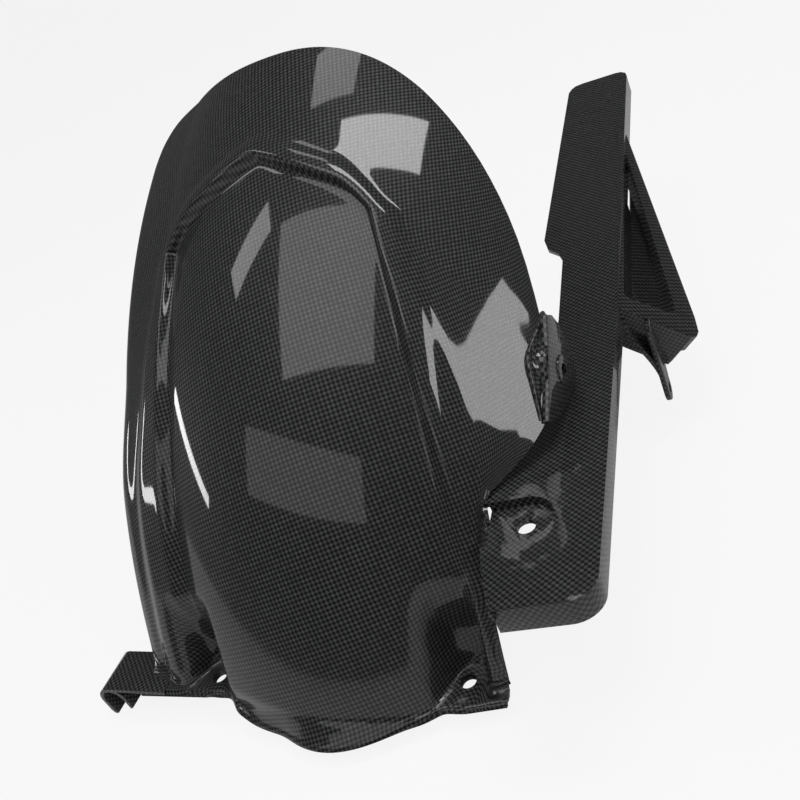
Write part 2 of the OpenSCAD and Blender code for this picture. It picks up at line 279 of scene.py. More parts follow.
class Arch:
    """The skin as functions of a place across, in millimetres, and an angle about the wheel, in degrees."""

    def __init__(self, arch, guard):
        self.__dict__.update(in_mm(arch))
        self.guard_height = in_mm(guard)["guard_height"]
        self.wheel_y = math.sqrt(self.arch_radius ** 2 - self.centre_drop ** 2) - self.bolt_setback
        self.wheel_z = -self.centre_drop

    def rear_edge(self, x):
        """The angle of the rear edge: a swept oval towards the guard, a short corner on the plain side."""
        if x > 0:
            u = min(0.995, x / (self.arch_half_width + 1))
            return -self.tip_angle - self.tip_sweep * (1 - math.sqrt(1 - u ** OVAL))
        corner = max(0.0, (self.left_half_width * PLAIN_CORNER + x) / -CORNER_WIDTH)
        return -self.tip_angle + smooth(-x / 85) - self.tip_sweep * CORNER_SHARE * corner ** 2

    def panel_top(self, x):
        """The angle of the panel's rear edge: a peak, two shoulders and a fall past them."""
        x = abs(x)
        return (-self.peak_angle - self.shoulder_fall * min(1.15, x / self.shoulder_half_width)
                - 14 * clamp((x - self.shoulder_half_width * 0.8) / 80) ** 1.5)

    def panel_side(self, s, a):
        """Half width of the panel on one side, 1 being the guard's and -1 the plain one."""
        share = curved(a, PANEL_RIGHT if s > 0 else PANEL_LEFT)
        return mix(self.shoulder_half_width, self.panel_half_width, share)

    def crest_in(self, s, a):
        """Where the rib's crest begins."""
        if s > 0:
            return (straight if a < CREST_STRAIGHT_BEFORE else curved)(a, CREST_RIGHT)
        slope = mix(self.rib_slope_left, self.rib_slope, smooth((a + 45) / 8))
        return self.panel_side(s, a) + slope * straight(a, SLOPE_LEFT)

    def crest_width(self, s, a):
        """Width of the rib's crest."""
        if s > 0:
            return straight(a, (*CREST_NARROW, (-48, self.rib_crest_rear)))
        return mix(self.rib_crest_front, self.rib_crest_rear, smooth((a + 58) / 22))

    def half_width(self, s, a):
        """Half width of the skin."""
        if s > 0:
            return (curved if a > EDGE_STRAIGHT_BEFORE else straight)(a, EDGE_RIGHT)
        return self.left_half_width + curved(a, EDGE_LEFT)

    def drop(self, x, a):
        """How far the skin falls away from its centre line."""
        u = abs(x)
        curve = x * x / 2 / self.cross_radius
        if u < ARC_TO:
            return curve
        at_arc = ARC_TO * ARC_TO / 2 / self.cross_radius
        rear = curve if x > 0 else at_arc + (u - ARC_TO) * SLOPE_REAR
        front = at_arc + (u - ARC_TO) * (SLOPE_FRONT_GUARD if x > 0 else SLOPE_FRONT_PLAIN)
        return mix(rear, front, smooth((-44 - a) / 10))

    def pocket(self, x, a):
        """Depth of the pocket behind a front bolt."""
        bolt = RIGHT_BOLT if x < 0 else LEFT_BOLT
        reach = self.pocket_reach * (1 if x < 0 else POCKET_NARROW)
        across = 1 - smooth((abs(x - bolt[0]) / reach - POCKET_FLAT) / (1 - POCKET_FLAT))
        return self.pocket_depth * across * smooth((POCKET_START - a) / POCKET_EASE)

    def rib(self, d, crest):
        """Height of the panel, the rib and the skin round it, by the distance out of the panel."""
        if d < self.rib_slope:
            return mix(self.rib_rise - self.panel_depth, self.rib_rise, smooth(d / self.rib_slope))
        return mix(self.rib_rise, 0, smooth((d - self.rib_slope - crest) / self.rib_fall))

    def outside(self, x, a):
        """How far a place stands out of the panel's side, with the slope brought to one width."""
        s = 1 if x > 0 else -1
        side = self.panel_side(s, a)
        u, v = abs(x) - side, self.crest_in(s, a) - side
        return u * self.rib_slope / v if u < v else u - v + self.rib_slope

    def skin(self, x, a):
        """Radius of the skin about the wheel."""
        d, t = self.outside(x, a), (a - self.panel_top(x)) * LONG
        crest = self.rib_crest_rear if t > d else self.crest_width(1 if x > 0 else -1, a)
        return self.arch_radius - self.drop(x, a) - self.pocket(x, a) + self.rib(max(d, t), crest)

    def on_arch(self, x, a, turned=0.0):
        """A point of the skin, turned down by some depth."""
        r = self.skin(x, a) - turned
        return Vector((x, self.wheel_y + r * sin_deg(a), self.wheel_z + r * cos_deg(a)))

    def lift(self, x):
        """Height of the lip, which rises to the right bolt."""
        return RIGHT_BOLT[2] * smooth((-x - 36) / 20)

    def foot_angle(self, x):
        """The angle at which the arch stands on its lip."""
        return -math.degrees(math.acos((curved(x, FOOT) - self.wheel_z) / self.skin(x, NEAR_FOOT)))

    def lip_row(self, x, k):
        """The lip's section, from the turned down edge at 0 to the crease with the arch at 6."""
        foot = self.on_arch(x, self.foot_angle(x))
        half = SWELL_RIGHT if x < LIP_MIDDLE else SWELL_LEFT
        swell = math.cos(math.radians(90 * clamp(abs(x - LIP_MIDDLE) / half))) ** SWELL_POWER
        front = -mix(self.lip_end_reach, self.lip_reach, swell) + 5 * clamp((x - 80) / 24)
        y, z = min(front, foot[1] - 4), self.lift(x)
        g, h = foot[1] - y, curved(x, FOOT) - z
        return [
            Vector((x, y - 1.2, z - self.lip_turn)),
            Vector((x, y - 0.4, z - 1.6)),
            Vector((x, y + min(1.2, 0.2 * g), z - 0.2)),
            Vector((x, y + 0.5 * g, z + 0.4 * h * swell)),
            Vector((x, foot[1] - min(4.5, 0.26 * g), z + mix(0.8, 0.72 * h, swell))),
            Vector((x, foot[1] - min(1.4, 0.08 * g), z + mix(3.4, 0.9 * h, swell))),
            foot,
        ][k]

    def lip(self, x, v):
        """A point of the lip between two of its rows."""
        k = min(5, int(v))
        return self.lip_row(x, k).lerp(self.lip_row(x, k + 1), v - k)

    def columns(self):
        """Places across, each as a side, a zone and a share of it: panel, slope, crest, fall, edge, turn."""
        def shares(n):
            return [(j + 1) / n for j in range(n)]
        right = [(1, zone, t) for zone, n in enumerate((20, 8, 3, 4, 6)) for t in shares(n)]
        left = [(-1, zone, t) for zone, n in enumerate((20, 6, 5, 5, 3)) for t in shares(n)]
        left += [(-1, 5, t) for t in (0.2, 0.4, 0.55, 0.68, 0.78, 0.86, 0.92, 0.97, 1)]
        return left[::-1] + [(1, 0, 0.0)] + right

    def across(self, column, a):
        """The place across of a column at an angle, and how far the skin is turned down there."""
        s, zone, t = column
        side, crest = self.panel_side(s, a), self.crest_in(s, a)
        outer = crest + self.crest_width(s, a)
        edge = self.half_width(s, a)
        if s > 0:
            outer = min(outer, mix(crest, edge, 0.4))
        fall = min(self.rib_fall, (edge - outer) * 0.6)
        if zone == 0:
            return s * side * (1 - (1 - t) ** 1.5), 0
        if zone == 1:
            return s * mix(side, crest, t), 0
        if zone == 2:
            return s * mix(crest, outer, t), 0
        if zone == 3:
            return s * (outer + fall * t), 0
        if zone == 4:
            return s * mix(outer + fall, edge if s > 0 else edge - TURN_START, t), 0
        past = TURN_WIDTH * t
        return s * (edge - TURN_START + past), self.side_turn / TURN_FULL * curved(past, TURN_LEFT)

    def rows(self):
        """Rows from the lip's edge to the rear edge, each as a kind and a place along it."""
        lip_places = (0, 0.5, 1, 1.5, 2, 2.2, 2.4, 2.6, 2.8, 3, 3.25, 3.5, 3.75, 4, 4.5, 5, 5.5)
        fine = 0.36     # the share of the arch above the foot that has closer rows
        lip = [("lip", v) for v in lip_places]
        arch = [("arch", fine * j / 30) for j in range(30)]
        arch += [("arch", mix(fine, 1, j / 28)) for j in range(29)]
        widths = [self.rib_slope * j / 4 for j in (1, 2, 3, 4)]
        widths += [widths[-1] + self.rib_crest_rear * j / 2 for j in (1, 2)]
        widths += [widths[-1] + self.rib_fall * j / 4 for j in (1, 2, 3, 4)]
        return lip + arch + [("top", w / LONG) for w in widths] + [("rear", j / 9) for j in range(1, 10)]

    def point(self, column, row):
        """The point of the skin at a column and a row."""
        kind, t = row
        x0, turned0 = self.across(column, ROW_FOOT)
        a1 = self.panel_top(self.across(column, ROW_TOP)[0])
        xr, turned = self.across(column, a1)
        if kind == "lip":
            return self.lip(x0, t) - Vector((0, 0, turned0 * clamp((t - 4) / 2)))
        if kind == "arch":
            a = mix(self.foot_angle(x0), a1, t)
            x, down = self.across(column, a)
            return self.on_arch(mix(x0, x, clamp(t / 0.03)), a, down)
        if kind == "top":
            return self.on_arch(xr, a1 + t, turned)
        a2 = a1 + (self.rib_slope + self.rib_crest_rear + self.rib_fall) / LONG
        return self.on_arch(xr, mix(a2, self.rear_edge(xr), t), turned)

    def seat_level(self, p, bolt):
        """A point drawn to the flat ring round a bolt."""
        away = math.hypot(p[0] - bolt[0], p[1] - bolt[1])
        inside = 1 - smooth((away - self.seat_ring / 2 + 1) / 3)
        level = 1 - smooth((abs(p[2] - bolt[2]) - 5) / 5)
        return Vector((p[0], p[1], mix(p[2], bolt[2], inside * level)))


# Work with objects

def only(obj):
    """Leave one object selected and active."""
    if bpy.context.object and bpy.context.object.mode != "OBJECT":
        bpy.ops.object.mode_set(mode="OBJECT")
    bpy.ops.object.select_all(action="DESELECT")
    obj.select_set(True)
    bpy.context.view_layer.objects.active = obj


def named(name):
    """Name the new primitive and its mesh."""
    obj = bpy.context.active_object
    obj.name = obj.data.name = name
    return obj


def start():
    """Deselect everything before a new primitive."""
    if bpy.context.object and bpy.context.object.mode != "OBJECT":
        bpy.ops.object.mode_set(mode="OBJECT")
    bpy.ops.object.select_all(action="DESELECT")


def apply_modifier(obj, kind, **settings):
    """Add a modifier with its settings and apply it."""
    only(obj)
    modifier = obj.modifiers.new(kind.title(), kind)
    for key, value in settings.items():
        setattr(modifier, key, value)
    bpy.ops.object.modifier_apply(modifier=modifier.name)


def cut(obj, tool, operation="DIFFERENCE"):
    """Cut a piece by another, or join the two, and take the tool away."""
    apply_modifier(obj, "BOOLEAN", object=tool, operation=operation, solver="EXACT")
    bpy.data.objects.remove(tool)


def soften(obj, width, segments=3, limit=35):
    """Round the edges that are sharper than a limit, by a width in millimetres."""
    apply_modifier(obj, "BEVEL", width=width * MM, segments=segments, limit_method="ANGLE",
                   angle_limit=math.radians(limit))


def smooth_by_angle(obj, limit=30):
    """Shade smooth, apart from edges sharper than a limit in degrees."""
    only(obj)
    bpy.ops.object.shade_smooth_by_angle(angle=math.radians(limit))


def face_out(obj):
    """Merge doubles and turn every face outwards."""
    only(obj)
    bpy.ops.object.mode_set(mode="EDIT")
    bpy.ops.mesh.select_all(action="SELECT")
    bpy.ops.mesh.remove_doubles(threshold=1e-6)
    bpy.ops.mesh.normals_make_consistent(inside=False)
    bpy.ops.object.mode_set(mode="OBJECT")


def grid(name, across, along, place):
    """A primitive grid whose points are moved to place(column, row), in millimetres."""
    start()
    bpy.ops.mesh.primitive_grid_add(x_subdivisions=across - 1, y_subdivisions=along - 1, size=1)
    obj = named(name)
    for v in obj.data.vertices:
        i, k = round((v.co.x + 0.5) * (across - 1)), round((v.co.y + 0.5) * (along - 1))
        v.co = place(i, k) * MM
    return obj


def prism(name, outline, low, high):
    """A flat outline, given in millimetres, that is extruded from one height to another."""
    start()
    bpy.ops.mesh.primitive_circle_add(vertices=len(outline), radius=1, fill_type="NGON")
    obj = named(name)
    for v, p in zip(obj.data.vertices, outline):
        v.co = Vector((p[0], p[1], low)) * MM
    bpy.ops.object.mode_set(mode="EDIT")
    bpy.ops.mesh.select_all(action="SELECT")
    bpy.ops.mesh.extrude_region_move(TRANSFORM_OT_translate={"value": (0, 0, (high - low) * MM)})
    bpy.ops.mesh.select_all(action="SELECT")
    bpy.ops.mesh.normals_make_consistent(inside=False)
    bpy.ops.object.mode_set(mode="OBJECT")
    return obj


def rod(name, centre, radius, low, high, sides=64):
    """An upright cylinder in millimetres."""
    start()
    bpy.ops.mesh.primitive_cylinder_add(vertices=sides, radius=radius * MM, depth=(high - low) * MM,
                                        location=(centre[0] * MM, centre[1] * MM, (low + high) / 2 * MM))
    obj = named(name)
    bpy.ops.object.transform_apply(location=True)
    return obj


def turned(obj, *matrices):
    """Turn or move a piece's mesh, the first matrix first."""
    for m in matrices:
        obj.data.transform(m)


def shift(x, y, z):
    """A move in millimetres."""
    return Matrix.Translation(Vector((x, y, z)) * MM)


def turn(degrees, axis):
    """A turn about one of the axes."""
    return Matrix.Rotation(math.radians(degrees), 4, axis)


# Sets a flat outline upright, across X.
UPRIGHT = Matrix(((0, 0, 1, 0), (1, 0, 0, 0), (0, 1, 0, 0), (0, 0, 0, 1)))


def lay_weave(obj):
    """Lay the weave on each face from the side that it looks to, as a UV map in metres."""
    layer = obj.data.uv_layers.active or obj.data.uv_layers.new(name="UVMap")
    top_favour = 0.2    # slanting faces take the weave from above rather than from a side
    for poly in obj.data.polygons:
        n = poly.normal
        axis = max(range(3), key=lambda j: abs(n[j]) + (top_favour if j == 2 else 0))
        for loop in poly.loop_indices:
            p = obj.data.vertices[obj.data.loops[loop].vertex_index].co
            layer.data[loop].uv = ((p.y, p.z), (p.x, p.z), (p.x, p.y))[axis]


def declare(obj, material):
    """Give a piece its finish, hang it on the root body and hide the CAD part that it replaces."""
    obj.data.materials.clear()
    obj.data.materials.append(material)
    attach(obj, "root")
    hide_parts(NODE)


def finish_piece(obj, limit=30, with_guard=False):
    lay_weave(obj)
    smooth_by_angle(obj, limit)
    if with_guard:
        place_guard(obj)
    declare(obj, carbon("carbon_guard"))


# The woven finish

# Height of a crossing: how round it is across its tow and along it.
ACROSS_POWER, ACROSS_SHARE, ALONG_SHARE = 0.6, 0.6, 0.4
# Shade of a crossing: how one tow differs from the next, the painted highlight that lightens its crown and
# the painted shade in its hollows, and its fine strands.
TOW_SPREAD, TOW_LEAST = 0.35, 0.72
CROWN_PAINTED_HIGHLIGHT, HOLLOW_PAINTED_SHADE = 0.45, 0.6
STRANDS, STRAND_SHADE = 7, 0.08
DARK_ROUGHNESS, LIGHT_ROUGHNESS = 0.50, 0.36
BUMP_STRENGTH, BUMP_HEIGHT = 0.55, 0.00025
CLOTH_SHINE = 0.22
COAT_ROUGHNESS, COAT_IOR = 0.04, 1.5


def carbon(name, weave_turn=0.0):
    """Plain weave under a clear coat, on the piece's own UV map, with a painted sheen on the tows of one
    direction and a painted highlight on the crowns of the crossings.
    """
    if name in bpy.data.materials:
        return bpy.data.materials[name]
    look = bpy.context.scene.hugger_finish
    material = bpy.data.materials.new(name)
    material.use_nodes = True
    tree = material.node_tree
    nodes, links = tree.nodes, tree.links
    shader = nodes["Principled BSDF"]

    def node(kind, **inputs):
        n = nodes.new(kind)
        for key, value in inputs.items():
            n.inputs[key.replace("_", " ")].default_value = value
        return n

    def maths(operation, a, b=None, c=None):
        n = nodes.new("ShaderNodeMath")
        n.operation = operation
        for socket, value in zip(n.inputs, (a, b, c)):
            if value is None:
                continue
            if isinstance(value, (int, float)):
                socket.default_value = value
            else:
                links.new(value, socket)
        return n.outputs[0]

    def blend(factor, a, b, colours=False):
        n = nodes.new("ShaderNodeMix")
        n.data_type = "RGBA" if colours else "FLOAT"
        sockets = [s for s in n.inputs if s.enabled]
        for socket, value in zip(sockets, (factor, a, b)):
            if isinstance(value, (int, float, tuple)):
                socket.default_value = value
            else:
                links.new(value, socket)
        return [s for s in n.outputs if s.enabled][0]

    uv = nodes.new("ShaderNodeTexCoord").outputs["UV"]
    mapping = node("ShaderNodeMapping", Rotation=(0, 0, math.radians(weave_turn)),
                   Scale=(1 / look.cell, 1 / look.cell, 1), Location=(0, 0, 0.5))
    links.new(uv, mapping.inputs["Vector"])
    split = nodes.new("ShaderNodeSeparateXYZ")
    links.new(mapping.outputs[0], split.inputs[0])
    u, v = split.outputs[0], split.outputs[1]
    checker = node("ShaderNodeTexChecker", Scale=1.0)
    links.new(mapping.outputs[0], checker.inputs["Vector"])
    over = checker.outputs["Fac"]
    wave_u = maths("SINE", maths("MULTIPLY", maths("FRACT", u), math.pi))
    wave_v = maths("SINE", maths("MULTIPLY", maths("FRACT", v), math.pi))
    across = blend(over, wave_u, wave_v)
    along = blend(over, wave_v, wave_u)
    height = maths("ADD", maths("MULTIPLY", maths("POWER", across, ACROSS_POWER), ACROSS_SHARE),
                   maths("MULTIPLY", along, ALONG_SHARE))
    # Each tow differs a little, and fine filaments run along it.
    tow_id = nodes.new("ShaderNodeCombineXYZ")
    links.new(maths("FLOOR", u), tow_id.inputs[0])
    links.new(maths("FLOOR", v), tow_id.inputs[1])
    random = nodes.new("ShaderNodeTexWhiteNoise")
    random.noise_dimensions = "2D"
    links.new(tow_id.outputs[0], random.inputs["Vector"])
    strand = maths("SINE", maths("MULTIPLY", blend(over, u, v), 2 * math.pi * STRANDS))
    tow_tone_and_painted_highlight = maths("ADD", maths("MULTIPLY", random.outputs["Value"], TOW_SPREAD), TOW_LEAST)
    # Painted highlight and painted shade: the crown of each crossing is painted lighter and its hollows
    # darker, as light would fall on them.
    tow_tone_and_painted_highlight = maths("MULTIPLY", tow_tone_and_painted_highlight, maths("ADD", maths("MULTIPLY", height, CROWN_PAINTED_HIGHLIGHT), HOLLOW_PAINTED_SHADE))
    tow_tone_and_painted_highlight = maths("MULTIPLY", tow_tone_and_painted_highlight, maths("ADD", maths("MULTIPLY", strand, STRAND_SHADE), 1.0))
    # Painted sheen: the tows of one direction are painted light and those of the other dark, standing in for
    # how they reflect.
    tow_painted_sheen = blend(over, (*look.dark_tow_painted_shade, 1), (*look.light_tow_painted_sheen, 1), colours=True)
    scaled = nodes.new("ShaderNodeVectorMath")
    scaled.operation = "SCALE"
    links.new(tow_painted_sheen, scaled.inputs[0])
    links.new(tow_tone_and_painted_highlight, scaled.inputs["Scale"])
    links.new(scaled.outputs[0], shader.inputs["Base Color"])
    links.new(blend(over, DARK_ROUGHNESS, LIGHT_ROUGHNESS), shader.inputs["Roughness"])
    bump = node("ShaderNodeBump", Strength=BUMP_STRENGTH, Distance=BUMP_HEIGHT)
    links.new(height, bump.inputs["Height"])
    links.new(bump.outputs[0], shader.inputs["Normal"])
    shader.inputs["Specular IOR Level"].default_value = CLOTH_SHINE
    shader.inputs["Coat Weight"].default_value = 1.0
    shader.inputs["Coat Roughness"].default_value = COAT_ROUGHNESS
    shader.inputs["Coat IOR"].default_value = COAT_IOR
    return material


# Pieces

def guard_outline(g):
    """Outline of the guard's top about its crease: ahead of it, its inner end, and behind it."""
    corner = g["guard_corner"]
    ahead = -g["guard_front"]
    front = [(0, ahead + corner)]
    front += [(-corner * (1 - cos_deg(t)), ahead + corner * (1 - sin_deg(t))) for t in range(10, 90, 10)]
    front += [(-corner, ahead), (-g["guard_front_width"], ahead)]
    # The inner edge follows the arch from the front corner to the crease.
    front += [(-48.8, -204.4), (-54.7, -182.6), (-57.4, -166.2), (-59.6, -144), (-43, -111)]
    inner = -g["guard_width"] - 1
    w, rear, r = g["guard_rear_width"], g["guard_rear"], 9
    back = [(inner, 58), (inner - 3, 66), (-w - 7, 73), (-w - 10, 84), (-w - 1, rear - r)]
    back += [(-w + 1, rear - 4), (-w + 4, rear - 1), (-w + r, rear)]
    back += [(-r + 6, rear), (1.5, rear - 1), (5, rear - 4.5), (6, rear - r)]
    return front, inner, back


def rise(p, g):
    """A point behind the crease, raised with the rear of the guard."""
    t = g["guard_rise"]
    return Vector((p[0], p[1] * cos_deg(t), p[1] * sin_deg(t)))


def place_guard(obj):
    """Bring what was made about the guard's crease to the guard's place."""
    g = in_mm(bpy.context.scene.hugger_guard)
    turned(obj, turn(g["guard_turn"], "Z"), shift(*CREASE_AT, g["guard_height"]), shift(*-LEFT_BOLT))


class HUGGER_OT_arch(bpy.types.Operator):
    """Build the arched skin with its framed panel, flank and front lip"""

    bl_idname = "hugger.arch"
    bl_label = "Arch skin"

    def execute(self, context):
        arch = Arch(context.scene.hugger_arch, context.scene.hugger_guard)
        columns, rows = arch.columns(), arch.rows()
        points = [[arch.point(c, r) for c in columns] for r in rows]
        for bolt in (LEFT_BOLT, RIGHT_BOLT):
            points = [[arch.seat_level(p, bolt) for p in line] for line in points]
        flat = self.unrolled(arch, points, columns.index((1, 0, 0.0)), rows.index(("arch", 0.0)))
        skin = grid("arch_skin", len(columns), len(rows), lambda i, k: points[k][i] - LEFT_BOLT)
        layer = skin.data.uv_layers.active or skin.data.uv_layers.new(name="UVMap")
        for loop in skin.data.loops:
            k, i = divmod(loop.vertex_index, len(columns))
            layer.data[loop.index].uv = flat[i, k]
        apply_modifier(skin, "SUBSURF", levels=1, render_levels=1)
        apply_modifier(skin, "SOLIDIFY", thickness=arch.wall * MM, offset=-1, use_even_offset=False)
        for bolt in (LEFT_BOLT, RIGHT_BOLT):
            cut(skin, rod("hole", bolt - LEFT_BOLT, arch.front_bore / 2, bolt[2] - 14, bolt[2] + 12))
        smooth_by_angle(skin, 40)
        declare(skin, carbon("carbon_arch", math.degrees(context.scene.hugger_finish.arch_turn)))
        self.side_wall(arch)
        return {"FINISHED"}

    @staticmethod
    def unrolled(arch, points, centre, foot):
        """Each point's place when the skin is laid out flat, in metres, across and up from the foot."""
        heights = []
        for line in points:
            heights.append([math.atan2(p[1] - arch.wheel_y, p[2] - arch.wheel_z) * arch.arch_radius
                            for p in line])
        for k in range(foot - 1, -1, -1):
            steps = [(q - p).length for p, q in zip(points[k], points[k + 1])]
            heights[k] = [above - step for above, step in zip(heights[k + 1], steps)]
        flat = {}
        for k, line in enumerate(points):
            spans = [0.0]
            for p, q in zip(line, line[1:]):
                spans.append(spans[-1] + (q - p).length)
            for i, span in enumerate(spans):
                flat[i, k] = ((span - spans[centre]) * MM, heights[k][i] * MM)
        return flat

    @staticmethod
    def side_wall(arch):
        """The wall between the edge of the arch and the guard's inner edge."""
        along, up, tuck = 40, 12, 0.6
        last = len(GUARD_INNER) - 1
        x_pairs = tuple((j / last, p[0]) for j, p in enumerate(GUARD_INNER))
        y_pairs = tuple((j / last, p[1]) for j, p in enumerate(GUARD_INNER))
        # The wall's top dips where the guard's pocket opens on it.
        dip_depth, dip_at, dip_half = 5.5, 20.7, 8

        def place(i, k):
            t, h = i / (along - 1), k / (up - 1)
            a = mix(MERGE, CORNER, t)
            low = arch.on_arch(arch.half_width(1, a) - tuck, a)
            y = curved(t, y_pairs)
            dip = dip_depth * (1 - smooth((abs(y - dip_at) - dip_half) / 7))
            high = Vector((curved(t, x_pairs), y, arch.guard_height - tuck - dip))
            return low.lerp(high, h) - LEFT_BOLT
        wall = grid("side_wall", along, up, place)
        apply_modifier(wall, "SOLIDIFY", thickness=arch.wall * MM, offset=0)
        finish_piece(wall, 40)


class HUGGER_OT_seats(bpy.types.Operator):
    """Build the boss under each front bolt hole"""

    bl_idname = "hugger.seats"
    bl_label = "Bolt seats"

    def execute(self, context):
        arch = in_mm(context.scene.hugger_arch)
        left = rod("seat_left", (0, 0), arch["seat_diameter"] / 2, -arch["seat_wall"], -0.6)
        soften(left, 0.6, 2)
        cut(left, rod("hole", (0, 0), arch["front_bore"] / 2, -9, 5))
        only(left)
        bpy.ops.object.duplicate()
        right = named("seat_right")
        turned(right, shift(*(RIGHT_BOLT - LEFT_BOLT)))
        for boss in (left, right):
            finish_piece(boss)
        return {"FINISHED"}


class HUGGER_OT_guard(bpy.types.Operator):
    """Build the chain guard with its turned down edge and bolt pocket"""

    bl_idname = "hugger.guard"
    bl_label = "Chain guard"

    def execute(self, context):
        g = in_mm(context.scene.hugger_guard)
        wall = in_mm(context.scene.hugger_arch)["wall"]
        front, inner, back = guard_outline(g)
        outline = [Vector((*p, 0)) for p in front] + [Vector((inner, 0, 0))] + [rise(p, g) for p in back]
        outline.append(Vector((0, 0, 0)))
        start()
        bpy.ops.mesh.primitive_circle_add(vertices=len(outline), radius=1, fill_type="NGON")
        guard = named("chain_guard")
        for v, p in zip(guard.data.vertices, outline):
            v.co = p * MM
        last = len(outline) - 1
        # Split the top at its crease, then turn the outer and front edges down.
        bpy.ops.object.mode_set(mode="EDIT")
        bpy.ops.mesh.select_all(action="DESELECT")
        bpy.ops.object.mode_set(mode="OBJECT")
        for n in (len(front), last):
            guard.data.vertices[n].select = True
        bpy.ops.object.mode_set(mode="EDIT")
        bpy.ops.mesh.vert_connect()
        bpy.ops.mesh.select_all(action="DESELECT")
        bpy.ops.mesh.select_mode(type="EDGE")
        bpy.ops.object.mode_set(mode="OBJECT")
        round_corner = [p for p in front if p[1] < -g["guard_front"] + 20 and p[0] > -20]
        turned_down = {*range(len(round_corner) + 1), last - 1, last}
        for edge in guard.data.edges:
            a, b = sorted(edge.vertices)
            loose = b - a == 1 or (a == 0 and b == last)
            edge.select = loose and a in turned_down and b in turned_down
        bpy.ops.object.mode_set(mode="EDIT")
        bpy.ops.mesh.extrude_edges_move(TRANSFORM_OT_translate={"value": (0, 0, -g["guard_edge"] * MM)})
        bpy.ops.mesh.select_all(action="SELECT")
        bpy.ops.mesh.normals_make_consistent(inside=False)
        bpy.ops.mesh.select_mode(type="VERT")
        bpy.ops.object.mode_set(mode="OBJECT")
        if sum(p.normal.z * p.area for p in guard.data.polygons) < 0:
            guard.data.flip_normals()
        apply_modifier(guard, "SOLIDIFY", thickness=wall * MM, offset=-1, use_even_offset=True)
        # The pocket is a cup that is open towards the arch.
        r, low = g["guard_pocket"] / 2, g["guard_pocket_depth"]

        def cup(radius, top, bottom, open_to):
            x, y = BOLT_AT
            arc = [(x + radius * cos_deg(t), y + radius * sin_deg(t)) for t in range(-90, 91, 6)]
            return prism("cup", arc + [(x - open_to, y + radius), (x - open_to, y - radius)], -bottom, top)
        cut(guard, cup(r + wall, -wall / 2, low + wall, 18.5), "UNION")
        cut(guard, cup(r, 3, low, 26))
        cut(guard, rod("hole", BOLT_AT, g["guard_bore"] / 2, -12, 6))
        soften(guard, 0.8)
        finish_piece(guard, with_guard=True)
        return {"FINISHED"}


